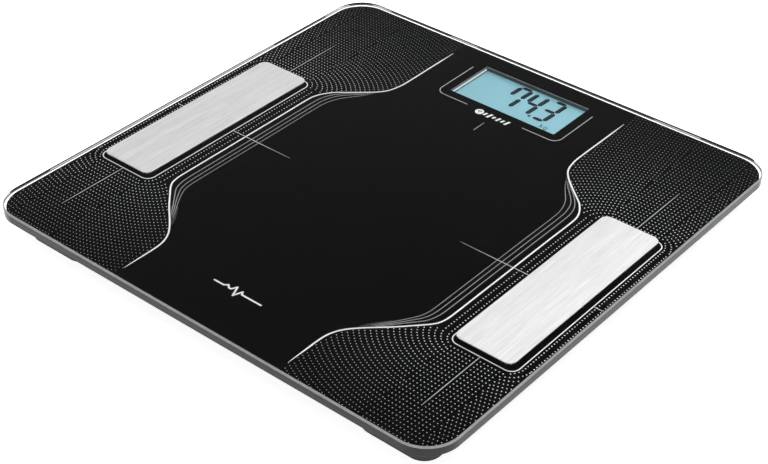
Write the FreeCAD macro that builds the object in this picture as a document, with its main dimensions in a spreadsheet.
import FreeCAD, Part
import Sketcher
import math
import os
import re
from FreeCAD import Vector, Placement, Rotation

# Digital bathroom scale: a square tempered-glass platform on four load-cell feet, two steel
# electrode plates on top, and an electronics module with a liquid-crystal display bonded below.
# Units are millimetres.  +X is to the user's right, +Y runs from the user towards the display,
# +Z is up.  The origin is on the floor under the middle of the platform.

doc = FreeCAD.newDocument("bathroom_scale")
sheet = doc.addObject("Spreadsheet::Sheet", "dims")

# ----------------------------------------------------------------------------- dimensions
CELLS = [
    # platform
    ("glass_w", 312.0), ("glass_corner", 20.0), ("glass_th", 6.0), ("glass_z", 17.0), ("arris", 0.9),
    ("film_w", 309.2), ("film_corner", 19.5), ("film_th", 0.15),
    ("tape_th", 0.5),
    ("window_w", 76.7), ("window_d", 37.0), ("lcd_y", 123.3),
    # electrodes
    ("plate_w", 35.9), ("plate_l", 134.3), ("plate_corner", 4.5), ("plate_th", 0.5), ("plate_edge", 0.22),
    ("electrode_x", 126.7), ("electrode_y", -13.8), ("adhesive_th", 0.1), ("adhesive_margin", 1.0),
    ("glass_hole_d", 7.0), ("stud_d", 4.0), ("stud_z", 11.4),
    ("bush_bore", 4.1), ("bush_od", 6.9), ("bush_flange_d", 11.0), ("bush_flange_th", 1.0),
    ("ring_th", 0.6), ("ring_od", 8.0), ("ring_bore", 4.2), ("ring_barrel_d", 2.0), ("ring_barrel_end", 8.8),
    ("nut_flats", 7.0), ("nut_th", 3.2),
    ("stud_cover_d", 21.0), ("stud_cover_wall", 1.2), ("stud_cover_z", 9.7),
    # feet
    ("foot_centre", 119.4), ("foot_w", 47.4), ("foot_corner", 10.5), ("foot_wall", 2.0),
    ("housing_z", 6.7), ("housing_top_th", 1.4), ("seat_w", 29.0),
    ("cap_z", 1.8), ("cap_top", 5.9), ("cap_floor", 1.6), ("cap_wall", 1.7),
    ("post_d", 9.0), ("post_top", 10.45), ("stem_d", 4.4), ("stem_top", 12.35), ("head_d", 6.4), ("head_th", 0.9),
    ("pad_w", 46.8), ("pad_corner", 10.2), ("pad_edge", 0.6),
    ("cell_w", 40.0), ("cell_corner", 3.0), ("cell_th", 1.5), ("cell_z", 10.5), ("cell_hole_d", 5.2),
    ("gauge_l", 6.0), ("gauge_w", 4.0), ("gauge_th", 0.12), ("gauge_x", 9.5), ("gauge_y", 5.0),
    # electronics module
    ("module_w", 128.0), ("module_d", 92.0), ("module_y", 103.5), ("module_corner", 6.0), ("module_wall", 1.8),
    ("frame_z", 9.5), ("frame_plate", 1.0), ("cover_z", 3.0), ("cover_floor", 1.4), ("cover_edge", 0.8),
    ("boss_x", 57.8), ("boss_front", 64.0), ("boss_rear", 143.0), ("boss_d", 5.8), ("boss_z", 7.0), ("pilot_d", 2.24),
    ("screw_d", 2.2), ("screw_head_d", 4.2), ("screw_head_th", 1.5), ("screw_l", 9.0), ("screw_seat", 5.2),
    ("bay_w", 51.0), ("bay_d", 36.0), ("bay_y", 79.2), ("bay_wall", 1.2), ("bay_top", 15.1),
    ("door_gap", 0.3), ("hinge_in", 1.7), ("hinge_z", 4.3), ("barrel_d", 2.6), ("hinge_pin_d", 1.5), ("hinge_bore_d", 1.6),
    ("hinge_pin_out", 1.1), ("tongue_w", 12.0), ("tongue_th", 0.8), ("tongue_top", 7.6),
    ("battery_d", 10.5), ("battery_can", 43.4), ("battery_nub_d", 3.8), ("battery_nub", 1.1), ("battery_pitch", 10.7),
    ("battery_z", 9.75), ("battery_shift", -1.0),
    ("contact_th", 0.4), ("contact_w", 8.0), ("contact_boss", 0.5),
    ("bezel_w", 87.6), ("bezel_d", 47.0), ("bezel_z", 9.2), ("bezel_ledge_z", 13.3),
    ("cavity_w", 84.4), ("cavity_d", 44.4), ("tunnel_w", 78.4), ("tunnel_d", 38.6),
    ("lug_x", 46.3), ("lug_y", 13.0), ("lug_w", 5.2), ("lug_l", 7.0),
    ("lcd_w", 84.0), ("lcd_d", 44.0), ("lcd_lower_d", 39.0), ("lcd_glass_th", 0.9), ("polariser_w", 80.0),
    ("polariser_d", 40.0), ("polariser_th", 0.2),
    ("guide_w", 79.0), ("guide_d", 37.0),
    ("zebra_w", 78.0), ("zebra_d", 2.2), ("zebra_y", -19.8),
    ("board_w", 116.0), ("board_front", 100.5), ("board_rear", 139.6), ("board_th", 1.2), ("board_z", 8.0),
    ("board_screw_d", 1.76), ("board_hole_d", 2.0), ("board_pilot_d", 1.8),
    ("chip_w", 14.0), ("chip_th", 1.4), ("radio_w", 12.0), ("radio_l", 16.0), ("radio_th", 2.0),
    ("led_w", 1.4), ("led_l", 3.0), ("led_th", 1.4),
    ("switch_w", 6.0), ("switch_z", 5.75), ("switch_bore_d", 3.6), ("switch_bore_z", 6.9), ("plunger_d", 3.4), ("plunger_top", 6.2),
    ("button_x", 50.0), ("button_y", 128.0), ("button_d", 8.0), ("button_hole_d", 8.8), ("button_z", 2.7),
    ("button_flange_d", 10.6), ("button_flange_z", 4.5), ("button_flange_th", 0.6),
    # wiring
    ("cable_d", 1.8), ("wire_d", 1.2), ("cable_z", 15.3), ("slot_w", 3.2),
    ("clip_w", 6.0), ("clip_l", 8.0), ("clip_z", 13.6),
]
for i, (alias, value) in enumerate(CELLS):
    sheet.set("A%d" % (i + 1), alias)
    sheet.set("B%d" % (i + 1), str(value))
    sheet.setAlias("B%d" % (i + 1), alias)
doc.recompute()
ALIASES = set(a for a, _ in CELLS)
D = dict((a, float(sheet.get(a))) for a, _ in CELLS)


def X(text):
    """Write an expression over the sheet's aliases."""
    return re.sub(r"[a-z][a-z_]*[a-z]", lambda k: "dims." + k.group(0) if k.group(0) in ALIASES else k.group(0), str(text))


# ----------------------------------------------------------------------------- helpers
def plane(body, role):
    for feature in body.Origin.OriginFeatures:
        if feature.Role == role:
            return feature


def new_body(label):
    body = doc.addObject("PartDesign::Body", label)
    body.Label = label
    body.AllowCompound = True
    return body


def new_sketch(body, name, z="0", role="XY_Plane"):
    sk = body.newObject("Sketcher::SketchObject", name)
    sk.AttachmentSupport = [(plane(body, role), "")]
    sk.MapMode = "FlatFace"
    sk.setExpression("AttachmentOffset.Base.z", X(z))
    return sk


def rounded_rect(sk, w, d, r, cx="0", cy="0"):
    """Rectangle w by d with corner radius r, centred on (cx, cy); r None means sharp corners."""
    C = Sketcher.Constraint
    L, A = Part.LineSegment, Part.ArcOfCircle
    hw, hd = 5.0, 4.0
    if r is None:
        pts = [(-hw, -hd), (hw, -hd), (hw, hd), (-hw, hd)]
        g = [sk.addGeometry(L(Vector(*pts[i], 0), Vector(*pts[(i + 1) % 4], 0))) for i in range(4)]
        sk.addConstraint([C("Coincident", g[i], 2, g[(i + 1) % 4], 1) for i in range(4)]
                         + [C("Horizontal", g[0]), C("Horizontal", g[2]), C("Vertical", g[1]), C("Vertical", g[3])])
        bottom, right, top, left = g
        pairs = [("size_x", C("DistanceX", top, 2, right, 1, 2 * hw)), ("size_y", C("DistanceY", bottom, 1, top, 1, 2 * hd)),
                 ("edge_x", C("DistanceX", -1, 1, right, 1, hw)), ("edge_y", C("DistanceY", -1, 1, top, 1, hd))]
    else:
        q = 1.5
        up = Vector(0, 0, 1)
        g = [sk.addGeometry(L(Vector(-hw + q, -hd, 0), Vector(hw - q, -hd, 0))),
             sk.addGeometry(A(Part.Circle(Vector(hw - q, -hd + q, 0), up, q), -math.pi / 2, 0)),
             sk.addGeometry(L(Vector(hw, -hd + q, 0), Vector(hw, hd - q, 0))),
             sk.addGeometry(A(Part.Circle(Vector(hw - q, hd - q, 0), up, q), 0, math.pi / 2)),
             sk.addGeometry(L(Vector(hw - q, hd, 0), Vector(-hw + q, hd, 0))),
             sk.addGeometry(A(Part.Circle(Vector(-hw + q, hd - q, 0), up, q), math.pi / 2, math.pi)),
             sk.addGeometry(L(Vector(-hw, hd - q, 0), Vector(-hw, -hd + q, 0))),
             sk.addGeometry(A(Part.Circle(Vector(-hw + q, -hd + q, 0), up, q), math.pi, 1.5 * math.pi))]
        sk.addConstraint([C("Tangent", g[i], 2, g[(i + 1) % 8], 1) for i in range(8)]
                         + [C("Horizontal", g[0]), C("Horizontal", g[4]), C("Vertical", g[2]), C("Vertical", g[6]),
                            C("Equal", g[1], g[3]), C("Equal", g[3], g[5]), C("Equal", g[5], g[7])])
        pairs = [("corner_size", C("Radius", g[1], q)),
                 ("size_x", C("DistanceX", g[6], 1, g[2], 1, 2 * hw)), ("size_y", C("DistanceY", g[0], 1, g[4], 1, 2 * hd)),
                 ("edge_x", C("DistanceX", -1, 1, g[2], 1, hw)), ("edge_y", C("DistanceY", -1, 1, g[4], 1, hd))]
    for name, con in pairs:
        sk.renameConstraint(sk.addConstraint(con), name)
    if r is not None:
        sk.setExpression("Constraints.corner_size", X(r))
    sk.setExpression("Constraints.size_x", X(w))
    sk.setExpression("Constraints.size_y", X(d))
    sk.setExpression("Constraints.edge_x", X("(%s)/2+(%s)" % (w, cx)))
    sk.setExpression("Constraints.edge_y", X("(%s)/2+(%s)" % (d, cy)))


def circles(sk, dia, centres):
    C = Sketcher.Constraint
    for k, (cx, cy) in enumerate(centres):
        g = sk.addGeometry(Part.Circle(Vector(3.0 * k + 1, 2.0, 0), Vector(0, 0, 1), 1.0))
        for name, con, ex in (("dia%d_" % k, C("Diameter", g, 2.0), dia), ("cx%d_" % k, C("DistanceX", -1, 1, g, 3, 3.0 * k + 1), cx),
                              ("cy%d_" % k, C("DistanceY", -1, 1, g, 3, 2.0), cy)):
            sk.renameConstraint(sk.addConstraint(con), name)
            sk.setExpression("Constraints." + name, X(ex))


def feature(kind, body, name, sk, length, midplane=False):
    f = body.newObject("PartDesign::" + kind, name)
    f.Profile = sk
    f.setExpression("Length", X(length))
    if midplane:
        f.Midplane = True
    sk.Visibility = False
    return f


def pad_rect(body, name, w, d, r, z, length, cx="0", cy="0"):
    sk = new_sketch(body, name + "_sketch", z)
    rounded_rect(sk, w, d, r, cx, cy)
    return feature("Pad", body, name, sk, length)


def cut_rect(body, name, w, d, r, top, depth, cx="0", cy="0"):
    """Pocket downwards from the plane at height top."""
    sk = new_sketch(body, name + "_sketch", top)
    rounded_rect(sk, w, d, r, cx, cy)
    return feature("Pocket", body, name, sk, depth)


def pad_round(body, name, dia, z, length, centres=(("0", "0"),)):
    sk = new_sketch(body, name + "_sketch", z)
    circles(sk, dia, centres)
    return feature("Pad", body, name, sk, length)


def cut_round(body, name, dia, top, depth, centres=(("0", "0"),)):
    sk = new_sketch(body, name + "_sketch", top)
    circles(sk, dia, centres)
    return feature("Pocket", body, name, sk, depth)


def dress(kind, body, name, base, pick, size):
    """Chamfer or fillet on the edges of base that pick accepts."""
    doc.recompute()
    f = body.newObject("PartDesign::" + kind, name)
    f.Base = (base, ["Edge%d" % (k + 1) for k, e in enumerate(base.Shape.Edges) if pick(e)])
    f.setExpression("Size" if kind == "Chamfer" else "Radius", X(size))
    return f


def flat_at(z):
    """Pick the edges that lie in the plane at height z."""
    return lambda e: e.BoundBox.ZLength < 1e-6 and abs(e.BoundBox.ZMin - z) < 1e-6


def prim(kind, name, x="0", y="0", z="0", turn=None, **sizes):
    """Part primitive whose sizes and place are bound to the sheet."""
    o = doc.addObject("Part::" + kind, name)
    if turn is not None:
        o.Placement = Placement(Vector(0, 0, 0), Rotation(Vector(*turn[0]), turn[1]))
    for key, ex in sizes.items():
        o.setExpression(key, X(ex))
    o.setExpression("Placement.Base.x", X(x))
    o.setExpression("Placement.Base.y", X(y))
    o.setExpression("Placement.Base.z", X(z))
    return o


def box(name, w, d, hgt, cx, cy, z, turn=None):
    return prim("Box", name, "(%s)-(%s)/2" % (cx, w), "(%s)-(%s)/2" % (cy, d), z, Length=w, Width=d, Height=hgt)


def cyl(name, dia, hgt, cx, cy, z, turn=None):
    return prim("Cylinder", name, cx, cy, z, turn, Radius="(%s)/2" % dia, Height=hgt)


def join(kind, name, parts):
    o = doc.addObject("Part::" + kind, name)
    if kind == "Compound":
        o.Links = parts
    else:
        o.Shapes = parts
    return o


def minus(name, base, tool):
    o = doc.addObject("Part::Cut", name)
    o.Base = base
    o.Tool = tool
    return o


NODES = []


def node(obj, label):
    obj.Label = label
    NODES.append(obj)
    return obj


SIDES = (("left", "-1"), ("right", "1"))

# ----------------------------------------------------------------------------- glass platform
glass = new_body("glass_platform")
pad = pad_rect(glass, "glass_slab", "glass_w", "glass_w", "glass_corner", "glass_z", "glass_th")
arris = dress("Chamfer", glass, "glass_arris", pad, lambda e: e.BoundBox.ZLength < 1e-6, "arris")
ELECTRODES = [("-electrode_x", "electrode_y"), ("electrode_x", "electrode_y")]
cut_round(glass, "glass_stud_holes", "glass_hole_d", "glass_z+glass_th", "glass_th", ELECTRODES)
node(glass, "glass_platform")

# opaque printed layer on the underside of the glass, with the clear display window
film = new_body("printed_film")
pad_rect(film, "film_sheet", "film_w", "film_w", "film_corner", "glass_z-film_th", "film_th")
cut_rect(film, "film_window", "window_w", "window_d", None, "glass_z", "film_th", "0", "lcd_y")
cut_round(film, "film_stud_holes", "glass_hole_d", "glass_z", "film_th", ELECTRODES)
node(film, "printed_film")

# ----------------------------------------------------------------------------- electrodes
for side, sign in SIDES:
    plate = new_body("electrode_plate_" + side)
    slab = pad_rect(plate, "plate_slab_" + side, "plate_w", "plate_l", "plate_corner", "glass_z+glass_th+adhesive_th", "plate_th")
    dress("Fillet", plate, "plate_top_edge_" + side, slab, flat_at(D["glass_z"] + D["glass_th"] + D["adhesive_th"] + D["plate_th"]), "plate_edge")
    plate.setExpression("Placement.Base.x", X(sign + "*electrode_x"))
    plate.setExpression("Placement.Base.y", X("electrode_y"))
    node(plate, "electrode_plate_" + side)

sheets, studs, bushes, rings, nuts = [], [], [], [], []
for side, sign in SIDES:
    ex, ey = "%s*electrode_x" % sign, "electrode_y"
    sheets.append(minus("adhesive_" + side,
                        box("adhesive_sheet_" + side, "plate_w-2*adhesive_margin", "plate_l-2*adhesive_margin", "adhesive_th", ex, ey, "glass_z+glass_th"),
                        cyl("adhesive_hole_" + side, "glass_hole_d", "2", ex, ey, "glass_z+glass_th-1")))
    studs.append(join("MultiFuse", "stud_" + side, [
        cyl("stud_shank_" + side, "stud_d", "glass_z+glass_th+adhesive_th-stud_z-0.5", ex, ey, "stud_z+0.5"),
        prim("Cone", "stud_tip_" + side, ex, ey, "stud_z", Radius1="stud_d/2-0.5", Radius2="stud_d/2", Height="0.5")]))
    bushes.append(minus("bush_" + side, join("MultiFuse", "bush_body_" + side, [
        cyl("bush_tube_" + side, "bush_od", "glass_th+film_th-0.1", ex, ey, "glass_z-film_th"),
        cyl("bush_flange_" + side, "bush_flange_d", "bush_flange_th", ex, ey, "glass_z-film_th-bush_flange_th")]),
        cyl("bush_bore_" + side, "bush_bore", "20", ex, ey, "10")))
    ring_z = "glass_z-film_th-bush_flange_th-ring_th"
    inward = "-1" if sign == "1" else "1"
    ring_body = join("MultiFuse", "ring_body_" + side, [
        cyl("ring_washer_" + side, "ring_od", "ring_th", ex, ey, ring_z),
        box("ring_neck_" + side, "4.4", "1.9", "ring_th", "%s+%s*5.2" % (ex, inward), ey, ring_z),
        prim("Cylinder", "ring_barrel_" + side, "%s+%s*6.2" % (ex, inward), ey, ring_z + "+0.1", ((0, 1, 0), 90 if inward == "1" else -90),
             Radius="ring_barrel_d/2", Height="ring_barrel_end-6.2")])
    rings.append(minus("ring_" + side, ring_body, cyl("ring_hole_" + side, "ring_bore", "4", ex, ey, ring_z + "-2")))
    nuts.append(minus("nut_" + side,
                      prim("Prism", "nut_hexagon_" + side, ex, ey, ring_z + "-nut_th", Polygon="6", Circumradius="nut_flats/2/cos(30)", Height="nut_th"),
                      cyl("nut_bore_" + side, "stud_d+0.04", "8", ex, ey, ring_z + "-nut_th-2")))
node(join("Compound", "electrode_adhesive", sheets), "electrode_adhesive")
node(join("Compound", "electrode_studs", studs), "electrode_studs")
node(join("Compound", "stud_bushes", bushes), "stud_bushes")
node(join("Compound", "ring_terminals", rings), "ring_terminals")
node(join("Compound", "electrode_nuts", nuts), "electrode_nuts")

# round covers bonded over the stud ends, each with a slot for its wire on the inner side
covers = []
for side, sign in SIDES:
    ex, ey = "%s*electrode_x" % sign, "electrode_y"
    shell = minus("stud_cover_shell_" + side,
                  join("MultiFuse", "stud_cover_solid_" + side, [
                      cyl("stud_cover_wall_" + side, "stud_cover_d", "glass_z-film_th-stud_cover_z-1", ex, ey, "stud_cover_z+1"),
                      prim("Cone", "stud_cover_crown_" + side, ex, ey, "stud_cover_z", Radius1="stud_cover_d/2-1", Radius2="stud_cover_d/2", Height="1")]),
                  cyl("stud_cover_hollow_" + side, "stud_cover_d-2*stud_cover_wall", "20", ex, ey, "stud_cover_z+stud_cover_wall"))
    inward = "-1" if sign == "1" else "1"
    covers.append(minus("stud_cover_" + side, shell, box("stud_cover_slot_" + side, "6", "2", "10", "%s+%s*10" % (ex, inward), ey, "cable_z-1")))
node(join("Compound", "stud_covers", covers), "stud_covers")

# ----------------------------------------------------------------------------- corner feet
# Each foot is drawn once about its own centre with its inner corner towards -X -Y, and turned
# about the platform's middle by a quarter turn from corner to corner.
FEET = (("rear_right", 0, "1", "1"), ("rear_left", 90, "-1", "1"), ("front_left", 180, "-1", "-1"), ("front_right", 270, "1", "-1"))
for name, angle, sx, sy in FEET:
    def place(body):
        body.Placement = Placement(Vector(0, 0, 0), Rotation(Vector(0, 0, 1), angle))
        body.setExpression("Placement.Base.x", X(sx + "*foot_centre"))
        body.setExpression("Placement.Base.y", X(sy + "*foot_centre"))

    # housing bonded to the glass: a cup open downwards whose inner step seats the load cell
    b = new_body("foot_housing_" + name)
    top = "glass_z-film_th-tape_th"
    shell = pad_rect(b, "housing_block_" + name, "foot_w", "foot_w", "foot_corner", "housing_z", top + "-housing_z")
    cut_rect(b, "housing_cup_" + name, "foot_w-2*foot_wall", "foot_w-2*foot_wall", "foot_corner-foot_wall",
             "cell_z+cell_th", "cell_z+cell_th-housing_z")
    cut_rect(b, "housing_seat_" + name, "seat_w", "seat_w", "3", top + "-housing_top_th", top + "-housing_top_th-cell_z-cell_th")
    cut_rect(b, "housing_wire_slot_" + name, "14", "slot_w", None, top, top + "-cell_z-cell_th-0.4", "-foot_w/2+5", "-5")
    place(b)
    node(b, "foot_housing_" + name)

    # half-bridge load cell: steel plate cut into a folded tongue that carries the foot
    b = new_body("load_cell_" + name)
    pad_rect(b, "cell_plate_" + name, "cell_w", "cell_w", "cell_corner", "cell_z", "cell_th")
    for tag, w, d, cx, cy in (("outer_left", "2", "28", "-13", "0"), ("outer_right", "2", "28", "13", "0"), ("outer_front", "28", "2", "0", "-13"),
                              ("inner_left", "1.5", "22", "-6.25", "3"), ("inner_right", "1.5", "22", "6.25", "3"), ("inner_rear", "14", "1.5", "0", "13.25")):
        cut_rect(b, "cell_slot_%s_%s" % (tag, name), w, d, None, "cell_z+cell_th", "cell_th", cx, cy)
    cut_round(b, "cell_hole_" + name, "cell_hole_d", "cell_z+cell_th", "cell_th")
    place(b)
    node(b, "load_cell_" + name)

    # foot cap: a tray whose post carries the cell's tongue and snaps through its hole
    b = new_body("foot_cap_" + name)
    tray = pad_rect(b, "cap_block_" + name, "foot_w", "foot_w", "foot_corner", "cap_z", "cap_top-cap_z")
    dress("Fillet", b, "cap_lower_edge_" + name, tray, flat_at(D["cap_z"]), "0.4")
    cut_rect(b, "cap_tray_" + name, "foot_w-2*cap_wall", "foot_w-2*cap_wall", "foot_corner-cap_wall", "cap_top", "cap_top-cap_z-cap_floor")
    pad_round(b, "cap_post_" + name, "post_d", "cap_z+cap_floor-0.2", "post_top-cap_z-cap_floor+0.2")
    pad_round(b, "cap_stem_" + name, "stem_d", "post_top-0.1", "stem_top-post_top+0.1")
    pad_round(b, "cap_head_" + name, "head_d", "stem_top-0.05", "head_th+0.05")
    place(b)
    node(b, "foot_cap_" + name)

    # moulded rubber sole
    b = new_body("foot_pad_" + name)
    sole = pad_rect(b, "pad_sole_" + name, "pad_w", "pad_w", "pad_corner", "0", "cap_z")
    dress("Fillet", b, "pad_edge_" + name, sole, flat_at(0.0), "pad_edge")
    place(b)
    node(b, "foot_pad_" + name)


def four(label, w, d, r, z, th, cx, cy):
    """One pad at the rear-right corner, repeated by quarter turns about the platform's middle."""
    body = new_body(label)
    first = pad_rect(body, label + "_pad", w, d, r, z, th, cx, cy)
    doc.recompute()
    pat = body.newObject("PartDesign::PolarPattern", label + "_pattern")
    pat.Originals = [first]
    axis = [f for f in body.Origin.OriginFeatures if f.Role == "Z_Axis"][0]
    pat.Axis = (axis, [""])
    pat.Angle = 360
    pat.Occurrences = 4
    body.Tip = pat
    return body


node(four("foot_tapes", "foot_w-2", "foot_w-2", "foot_corner-1", "glass_z-film_th-tape_th", "tape_th", "foot_centre", "foot_centre"), "foot_tapes")
node(four("strain_gauges", "gauge_w", "gauge_l", "0.5", "cell_z+cell_th", "gauge_th", "foot_centre+gauge_x", "foot_centre+gauge_y"), "strain_gauges")

# ----------------------------------------------------------------------------- electronics module
top = "glass_z-film_th-tape_th"
CABLE_SLOTS_FRONT = ("-54", "-47.5", "47.5", "54")

tape = new_body("module_tape")
pad_rect(tape, "tape_sheet", "module_w-4", "module_d-4", "module_corner-2", top, "tape_th", "0", "module_y")
cut_rect(tape, "tape_display_hole", "bezel_w+0.6", "bezel_d+0.6", None, top + "+tape_th", "tape_th", "0", "lcd_y")
cut_rect(tape, "tape_bay_hole", "bay_w+2*bay_wall+0.8", "bay_d+2*bay_wall+0.5", None, top + "+tape_th", "tape_th", "0", "bay_y")
node(tape, "module_tape")

# upper frame: a shallow tray bonded to the glass, open over the display and the battery bay
frame = new_body("module_frame")
pad_rect(frame, "frame_block", "module_w", "module_d", "module_corner", "frame_z", top + "-frame_z", "0", "module_y")
cut_rect(frame, "frame_hollow", "module_w-2*module_wall", "module_d-2*module_wall", "module_corner-module_wall",
         top + "-frame_plate", top + "-frame_plate-frame_z", "0", "module_y")
cut_rect(frame, "frame_display_hole", "bezel_w+0.3", "bezel_d+0.3", None, top, "frame_plate", "0", "lcd_y")
cut_rect(frame, "frame_bay_hole", "bay_w+2*bay_wall+0.4", "bay_d+2*bay_wall+0.4", None, top, "frame_plate", "0", "bay_y")
for k, sx in enumerate(CABLE_SLOTS_FRONT):
    cut_rect(frame, "frame_cable_slot_%d" % k, "slot_w", "32", None, top, top + "-cable_z+2.4", sx, "module_y-module_d/2+9")
cut_rect(frame, "frame_cable_slot_right", "24", "slot_w", None, top, top + "-cable_z+2.4", "module_w/2-5", "foot_centre-5")
cut_rect(frame, "frame_cable_slot_left", "24", "6.4", None, top, top + "-cable_z+2.4", "-module_w/2+5", "84")
BOSSES = [("boss_x", "boss_front"), ("-boss_x", "boss_front"), ("boss_x", "boss_rear"), ("-boss_x", "boss_rear")]
pad_round(frame, "frame_bosses", "boss_d", "boss_z", top + "-boss_z-0.5", BOSSES)
cut_round(frame, "frame_pilots", "pilot_d", top + "-1.6", top + "-1.6-boss_z", BOSSES)
node(frame, "module_frame")

# lower cover: floor and side walls, with the battery bay as an inverted tray
cover = new_body("module_cover")
block = pad_rect(cover, "cover_block", "module_w", "module_d", "module_corner", "cover_z", "frame_z-cover_z", "0", "module_y")
dress("Fillet", cover, "cover_lower_edge", block, flat_at(D["cover_z"]), "cover_edge")
cut_rect(cover, "cover_hollow", "module_w-2*module_wall", "module_d-2*module_wall", "module_corner-module_wall", "frame_z", "frame_z-cover_z-cover_floor", "0", "module_y")
pad_rect(cover, "cover_bay_block", "bay_w+2*bay_wall", "bay_d+2*bay_wall", None, "cover_z", "bay_top+1.1-cover_z", "0", "bay_y")
pad_round(cover, "cover_pillars", "boss_d+1", "cover_z+0.5", "boss_z-cover_z-0.5", BOSSES)
cut_rect(cover, "cover_bay", "bay_w", "bay_d", None, "bay_top", "bay_top-cover_z", "0", "bay_y")
cut_round(cover, "cover_screw_heads", "screw_head_d+0.5", "screw_seat", "screw_seat-cover_z", BOSSES)
cut_round(cover, "cover_screw_holes", "screw_d+0.3", "boss_z", "boss_z-cover_z", BOSSES)
cut_round(cover, "cover_button_hole", "button_hole_d", "cover_z+cover_floor", "cover_floor", [("button_x", "button_y")])
cut_rect(cover, "cover_finger_scoop", "16", "6", "2", "cover_z+0.8", "0.8", "0", "bay_y+bay_d/2+2")
sk = new_sketch(cover, "cover_hinge_sketch", "0", "YZ_Plane")
circles(sk, "hinge_bore_d", [("bay_y-bay_d/2+hinge_in", "hinge_z")])
feature("Pocket", cover, "cover_hinge_bores", sk, "bay_w+2*(hinge_pin_out+0.1)", True)
node(cover, "module_cover")

# battery door: plate, hinge barrel with pins at both ends, latch tongue
door = new_body("battery_door")
hinge_y = "bay_y-bay_d/2+hinge_in"
pad_rect(door, "door_plate", "bay_w-2*door_gap", "bay_d-hinge_in-door_gap", None, "cover_z", "cover_floor",
         "0", "bay_y+(hinge_in-door_gap)/2")
for tag, dia, length in (("barrel", "barrel_d", "bay_w-2*door_gap"), ("pins", "hinge_pin_d", "bay_w+2*hinge_pin_out")):
    sk = new_sketch(door, "door_%s_sketch" % tag, "0", "YZ_Plane")
    circles(sk, dia, [(hinge_y, "hinge_z")])
    feature("Pad", door, "door_" + tag, sk, length, True)
pad_rect(door, "door_tongue", "tongue_w", "tongue_th", None, "cover_z+cover_floor-0.2", "tongue_top-cover_z-cover_floor+0.2",
         "0", "bay_y+bay_d/2-0.6-tongue_th/2")
for k in range(4):
    cut_rect(door, "door_grip_%d" % k, "14", "0.8", None, "cover_z+0.4", "0.4", "0", "bay_y+bay_d/2-%g" % (3.0 + 1.8 * k))
node(door, "battery_door")

# batteries: three cells side by side along X, alternately turned, with their contacts
cans, flats, leaves = [], [], []
for k in range(3):
    s = "1" if k != 1 else "-1"
    cy = "bay_y+battery_shift+battery_pitch*%d" % (k - 1)
    tip = "%s*(bay_w/2-contact_th-contact_boss)" % s
    turn = ((0, 1, 0), -90 if s == "1" else 90)
    cans.append(join("MultiFuse", "battery_%d" % k, [
        prim("Cylinder", "battery_can_%d" % k, "%s-%s*battery_nub" % (tip, s), cy, "battery_z", turn, Radius="battery_d/2", Height="battery_can"),
        prim("Cylinder", "battery_nub_%d" % k, tip, cy, "battery_z", turn, Radius="battery_nub_d/2", Height="battery_nub+0.5")]))
    flats.append(join("MultiFuse", "contact_flat_%d" % k, [
        box("contact_sheet_%d" % k, "contact_th", "contact_w", "contact_w", "%s*(bay_w/2-contact_th/2)" % s, cy, "battery_z-contact_w/2"),
        prim("Cylinder", "contact_boss_%d" % k, tip, cy, "battery_z", ((0, 1, 0), 90 if s == "1" else -90), Radius="2.2", Height="contact_boss+0.2")]))
    base_x = "-%s*(bay_w/2-contact_th/2)" % s
    reach = D["bay_w"] - 2 * D["contact_th"] - D["contact_boss"] - D["battery_nub"] - D["battery_can"]
    half = 3.6
    arm = math.hypot(reach - 0.35, half)
    arms = [box("leaf_base_%d" % k, "contact_th", "contact_w-1", "contact_w", base_x, cy, "battery_z-contact_w/2")]
    for updown, tag in ((1, "up"), (-1, "down")):
        a = doc.addObject("Part::Box", "leaf_arm_%s_%d" % (tag, k))
        a.setExpression("Length", X("contact_th"))
        a.setExpression("Width", X("contact_w-3"))
        a.Height = arm
        sgn = 1.0 if s == "1" else -1.0
        rot = Rotation(Vector(0, 1, 0), math.degrees(math.atan2(sgn * (reach - 0.35), -updown * half)))
        foot = Vector(-sgn * (D["bay_w"] / 2 - D["contact_th"]), D["bay_y"] + D["battery_shift"] + D["battery_pitch"] * (k - 1), D["battery_z"] + updown * half)
        a.Placement = Placement(foot + rot.multVec(Vector(-D["contact_th"] / 2, -(D["contact_w"] - 3) / 2, 0)), rot)
        arms.append(a)
    leaves.append(join("MultiFuse", "contact_leaf_%d" % k, arms))
node(join("Compound", "batteries", cans), "batteries")
node(join("Compound", "battery_contacts", flats), "battery_contacts")
node(join("Compound", "battery_springs", leaves), "battery_springs")

# screws that close the module, driven from below
def screws(prefix, dia, head_d, head_th, length, seat, centres):
    made = []
    for k, (cx, cy) in enumerate(centres):
        body = join("MultiFuse", "%s_solid_%d" % (prefix, k), [
            cyl("%s_head_%d" % (prefix, k), head_d, head_th, cx, cy, "%s-(%s)" % (seat, head_th)),
            cyl("%s_shank_%d" % (prefix, k), dia, "(%s)-0.8" % length, cx, cy, seat),
            prim("Cone", "%s_tip_%d" % (prefix, k), cx, cy, "%s+(%s)-0.8" % (seat, length), Radius1="(%s)/2" % dia, Radius2="(%s)/2-0.5" % dia, Height="0.8")])
        cross = join("MultiFuse", "%s_recess_%d" % (prefix, k), [
            box("%s_slot_a_%d" % (prefix, k), "(%s)*0.6" % head_d, "0.5", "(%s)*0.6+1" % head_th, cx, cy, "%s-(%s)-1" % (seat, head_th)),
            box("%s_slot_b_%d" % (prefix, k), "0.5", "(%s)*0.6" % head_d, "(%s)*0.6+1" % head_th, cx, cy, "%s-(%s)-1" % (seat, head_th))])
        made.append(minus("%s_%d" % (prefix, k), body, cross))
    return made


node(join("Compound", "cover_screws", screws("cover_screw", "screw_d", "screw_head_d", "screw_head_th", "screw_l", "screw_seat", BOSSES)), "cover_screws")

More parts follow.
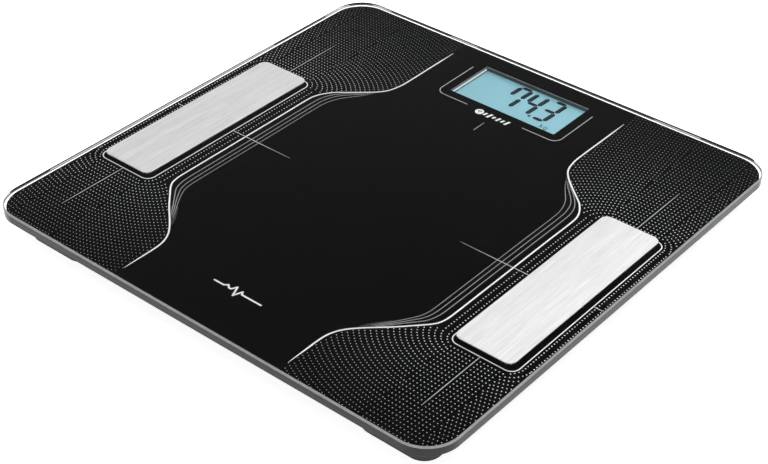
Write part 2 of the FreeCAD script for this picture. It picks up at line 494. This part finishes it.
# display: light-walled bezel, liquid-crystal cell, front polariser, light guide, contact strip
bezel = new_body("lcd_bezel")
pad_rect(bezel, "bezel_block", "bezel_w", "bezel_d", "1", "bezel_z", "glass_z-film_th-bezel_z", "0", "lcd_y")
LUGS = [(a + "lug_x", "lcd_y" + b + "lug_y") for a in ("", "-") for b in ("+", "-")]
for k, (cx, cy) in enumerate(LUGS):
    pad_rect(bezel, "bezel_lug_%d" % k, "lug_w", "lug_l", None, "bezel_z", "4.6", cx, cy)
cut_rect(bezel, "bezel_cavity", "cavity_w", "cavity_d", None, "bezel_ledge_z", "bezel_ledge_z-bezel_z", "0", "lcd_y")
cut_rect(bezel, "bezel_tunnel", "tunnel_w", "tunnel_d", "0.6", "glass_z-film_th", "glass_z-film_th-bezel_ledge_z+0.5", "0", "lcd_y")
cut_round(bezel, "bezel_pilots", "board_pilot_d", "bezel_z+4", "4", [(a.replace("lug_x", "(lug_x+0.4)"), b) for a, b in LUGS])
node(bezel, "lcd_bezel")

cell = new_body("lcd_cell")
pad_rect(cell, "cell_lower_glass", "lcd_w", "lcd_lower_d", None, "bezel_ledge_z-polariser_th-2*lcd_glass_th", "lcd_glass_th", "0", "lcd_y+(lcd_d-lcd_lower_d)/2")
pad_rect(cell, "cell_upper_glass", "lcd_w", "lcd_d", None, "bezel_ledge_z-polariser_th-lcd_glass_th", "lcd_glass_th", "0", "lcd_y")
node(cell, "lcd_cell")

pol = new_body("lcd_polariser")
pad_rect(pol, "polariser_sheet", "polariser_w", "polariser_d", None, "bezel_ledge_z-polariser_th", "polariser_th", "0", "lcd_y")
node(pol, "lcd_polariser")

guide = new_body("light_guide")
pad_rect(guide, "guide_slab", "guide_w", "guide_d", None, "bezel_z", "bezel_ledge_z-polariser_th-2*lcd_glass_th-bezel_z", "0", "lcd_y+0.6")
node(guide, "light_guide")

zebra = new_body("zebra_strip")
pad_rect(zebra, "zebra_block", "zebra_w", "zebra_d", None, "bezel_z", "bezel_ledge_z-polariser_th-lcd_glass_th-bezel_z", "0", "lcd_y+zebra_y")
node(zebra, "zebra_strip")

leds = [box("led_%d" % k, "led_w", "led_l", "led_th", "%s*(guide_w/2+1+led_w/2-0.6)" % sx, "lcd_y+%d" % dy, "bezel_z")
        for k, (sx, dy) in enumerate((("1", 9), ("1", -7), ("-1", 9), ("-1", -7)))]
node(join("Compound", "backlight_leds", leds), "backlight_leds")

# main board with its parts on the underside
board = new_body("main_board")
pad_rect(board, "board_sheet", "board_w", "board_rear-board_front", "1.5", "board_z", "board_th", "0", "(board_rear+board_front)/2")
cut_round(board, "board_holes", "board_hole_d", "board_z+board_th", "board_th", [(a.replace("lug_x", "(lug_x+0.4)"), b) for a, b in LUGS])
node(board, "main_board")
node(join("Compound", "board_screws", screws("board_screw", "board_screw_d", "3.4", "1", "4.8", "board_z",
                                              [(a.replace("lug_x", "(lug_x+0.4)"), b) for a, b in LUGS])), "board_screws")

chip = join("MultiFuse", "controller_solid", [box("controller_body", "chip_w-4", "chip_w-4", "chip_th", "-8", "122", "board_z-chip_th")]
            + [box("controller_leads_%d" % k, "chip_w" if k == 0 else "chip_w-5", "chip_w-5" if k == 0 else "chip_w", "0.3", "-8", "122", "board_z-0.3") for k in range(2)])
node(join("Compound", "controller_chip", [chip]), "controller_chip")
radio = join("MultiFuse", "radio_solid", [box("radio_board", "radio_w", "radio_l", "0.8", "-43", "122", "board_z-0.8"),
                                          box("radio_can", "radio_w-1.5", "radio_l-5", "radio_th-0.7", "-43", "120.5", "board_z-radio_th")])
node(join("Compound", "radio_module", [radio]), "radio_module")

# unit switch, its plunger, and the button cap that reaches through the cover
switch = new_body("unit_switch")
pad_rect(switch, "switch_block", "switch_w", "switch_w", "0.4", "switch_z", "board_z-switch_z", "button_x", "button_y")
cut_round(switch, "switch_bore", "switch_bore_d", "switch_bore_z", "switch_bore_z-switch_z", [("button_x", "button_y")])
node(switch, "unit_switch")

plunger = new_body("switch_plunger")
pad_round(plunger, "plunger_rod", "plunger_d", "button_flange_z+button_flange_th", "plunger_top-button_flange_z-button_flange_th", [("button_x", "button_y")])
node(plunger, "switch_plunger")

button = new_body("unit_button")
capb = pad_round(button, "button_disc", "button_d", "button_z", "button_flange_z-button_z+0.1", [("button_x", "button_y")])
dress("Fillet", button, "button_edge", capb, flat_at(D["button_z"]), "0.5")
pad_round(button, "button_flange", "button_flange_d", "button_flange_z", "button_flange_th", [("button_x", "button_y")])
node(button, "unit_button")


# ----------------------------------------------------------------------------- wiring
def tube(label, points, dia):
    """Round lead of straight runs joined by tangent arcs, each arc as large as its runs allow."""
    pts = [Vector(*p) for p in points]
    edges, here = [], pts[0]
    for k in range(1, len(pts) - 1):
        a = (pts[k] - pts[k - 1]).normalize() if (pts[k] - pts[k - 1]).Length else None
        b = (pts[k + 1] - pts[k]).normalize()
        turn = a.getAngle(b)
        run = min((pts[k] - pts[k - 1]).Length, (pts[k + 1] - pts[k]).Length)
        cut = 0.45 * run
        radius = cut / math.tan(turn / 2)
        p, q = pts[k] - a * cut, pts[k] + b * cut
        inward = (b - a).normalize()
        centre = pts[k] + inward * (radius / math.cos(turn / 2))
        mid = centre - inward * radius
        if (p - here).Length > 1e-6:
            edges.append(Part.LineSegment(here, p).toShape())
        edges.append(Part.Arc(p, mid, q).toShape())
        here = q
        print("%s bend %d: radius %.1f mm" % (label, k, radius))
    edges.append(Part.LineSegment(here, pts[-1]).toShape())
    path = Part.Wire(edges)
    ring = Part.Wire([Part.Circle(pts[0], pts[1] - pts[0], dia / 2).toShape()])
    solid = path.makePipeShell([ring], True, False)
    want = math.pi * dia * dia / 4 * path.Length
    if abs(solid.Volume - want) > 0.01 * want:
        raise RuntimeError("%s: volume %.2f, section times length %.2f" % (label, solid.Volume, want))
    o = doc.addObject("Part::Feature", label)
    o.Shape = solid
    o.Placement = Placement(Vector(0, 0, 0), Rotation())
    return node(o, label)


fc, fw, cz = D["foot_centre"], D["foot_w"], D["cable_z"]
front = D["module_y"] - D["module_d"] / 2
low = cz - 1.0
edge = fw / 2
ROUTES = {
    # each foot's lead leaves through its wire slot and ends on the board beside the display
    "load_cell_cable_rear_right": [(fc - 13, fc - 5, low - 0.7), (fc - 27, fc - 5, low + 0.1), (fc - 40, fc - 5.2, cz), (D["module_w"] / 2 + 2, fc - 5, cz),
                                   (58.5, fc - 4.8, 12.8), (52.5, fc - 4.6, 10.15)],
    "load_cell_cable_rear_left": [(-fc + 5, fc - 13, low - 0.7), (-fc + 5, fc - 27, low + 0.1), (-103.0, 81.5, cz), (-82.0, 83.0, cz), (-64.0, 83.0, cz),
                                  (-57.0, 92.5, 12.2), (-56.0, 103.5, 10.15)],
    "load_cell_cable_front_left": [(-fc + 13, -fc + 5, low - 0.7), (-fc + 27, -fc + 5, low + 0.1), (-fc + 43, -fc + 9, cz), (-55.0, -72.0, cz), (-50.0, -20.0, cz),
                                   (-51.0, 25.0, cz), (-47.5, 61.0, cz), (-48.3, 86.0, 12.4), (-50.6, 103.5, 10.15)],
    "load_cell_cable_front_right": [(fc - 5, -fc + 13, low - 0.7), (fc - 5, -fc + 27, low + 0.1), (fc - 11, -fc + 43, cz), (72.0, -41.0, cz), (51.5, -6.0, cz),
                                    (51.5, 30.0, cz), (47.5, 61.0, cz), (48.3, 86.0, 12.4), (50.6, 103.5, 10.15)],
}
for label, pts in ROUTES.items():
    tube(label, pts, D["cable_d"])
ex, ey = D["electrode_x"], D["electrode_y"]
ringz = D["glass_z"] - D["film_th"] - D["bush_flange_th"] - D["ring_th"] + 0.1
for side, s in (("left", -1), ("right", 1)):
    tube("electrode_wire_" + side, [(s * (ex - D["ring_barrel_end"]), ey, ringz), (s * 100, ey, cz), (s * 78.0, 2.0, cz), (s * 58.5, 34.0, cz), (s * 54.0, 61.0, cz),
                                    (s * 54.0, 86.0, 12.6), (s * 53.0, 102.6, 9.85)], D["wire_d"])

# adhesive cable clips: small blocks on the film with a channel round the lead
clips = []
SPOTS = []
for label in ("load_cell_cable_front_left", "load_cell_cable_front_right"):
    pts = ROUTES[label]
    for k in (2, 3, 4):
        SPOTS.append((pts[k], pts[k + 1], D["cable_d"]))
SPOTS.append((ROUTES["load_cell_cable_rear_left"][3], ROUTES["load_cell_cable_rear_left"][4], D["cable_d"]))
SPOTS.append((ROUTES["load_cell_cable_rear_right"][2], ROUTES["load_cell_cable_rear_right"][3], D["cable_d"]))
for s in (-1, 1):
    SPOTS.append(((s * 78.0, 2.0, cz), (s * 58.5, 34.0, cz), D["wire_d"]))
for k, (p, q, dia) in enumerate(SPOTS):
    mid = ((p[0] + q[0]) / 2, (p[1] + q[1]) / 2)
    ang = math.degrees(math.atan2(q[1] - p[1], q[0] - p[0]))
    block = doc.addObject("Part::Box", "clip_block_%d" % k)
    block.setExpression("Length", X("clip_l"))
    block.setExpression("Width", X("clip_w"))
    block.setExpression("Height", X("glass_z-film_th-clip_z"))
    rot = Rotation(Vector(0, 0, 1), ang)
    block.Placement = Placement(Vector(mid[0], mid[1], D["clip_z"]) + rot.multVec(Vector(-D["clip_l"] / 2, -D["clip_w"] / 2, 0)), rot)
    bore = doc.addObject("Part::Cylinder", "clip_bore_%d" % k)
    bore.Radius = dia / 2 + 0.05
    bore.Height = 30
    axis = Rotation(Vector(0, 0, 1), Vector(math.cos(math.radians(ang)), math.sin(math.radians(ang)), 0))
    bore.Placement = Placement(Vector(mid[0], mid[1], cz) + axis.multVec(Vector(0, 0, -15)), axis)
    clips.append(minus("clip_%d" % k, block, bore))
node(join("Compound", "cable_clips", clips), "cable_clips")

# ----------------------------------------------------------------------------- checks and output
doc.recompute()
for o in doc.Objects:
    if "Invalid" in o.State or "Error" in o.State:
        raise RuntimeError("%s failed: %s" % (o.Label, o.State))
labels = [o.Label for o in NODES]
if len(set(labels)) != len(labels) or len(labels) > 60:
    raise RuntimeError("node names")
SOLIDS = {"electrode_adhesive": 2, "electrode_studs": 2, "stud_bushes": 2, "ring_terminals": 2, "electrode_nuts": 2, "stud_covers": 2,
          "foot_tapes": 4, "strain_gauges": 4, "batteries": 3, "battery_contacts": 3, "battery_springs": 3, "cover_screws": 4,
          "board_screws": 4, "backlight_leds": 4, "cable_clips": len(SPOTS)}
for o in NODES:
    s = o.Shape
    if s.isNull() or not s.isValid():
        raise RuntimeError("%s: shape is null or not valid" % o.Label)
    if len(s.Solids) != SOLIDS.get(o.Label, 1):
        raise RuntimeError("%s: %d solids" % (o.Label, len(s.Solids)))
os.makedirs("parts", exist_ok=True)
for o in NODES:
    o.Shape.exportStep("parts/%s.step" % o.Label)
    b = o.Shape.BoundBox
    print("%-30s vol %10.2f  x %8.2f %8.2f  y %8.2f %8.2f  z %6.2f %6.2f" % (o.Label, o.Shape.Volume, b.XMin, b.XMax, b.YMin, b.YMax, b.ZMin, b.ZMax))
print(len(NODES), "nodes")
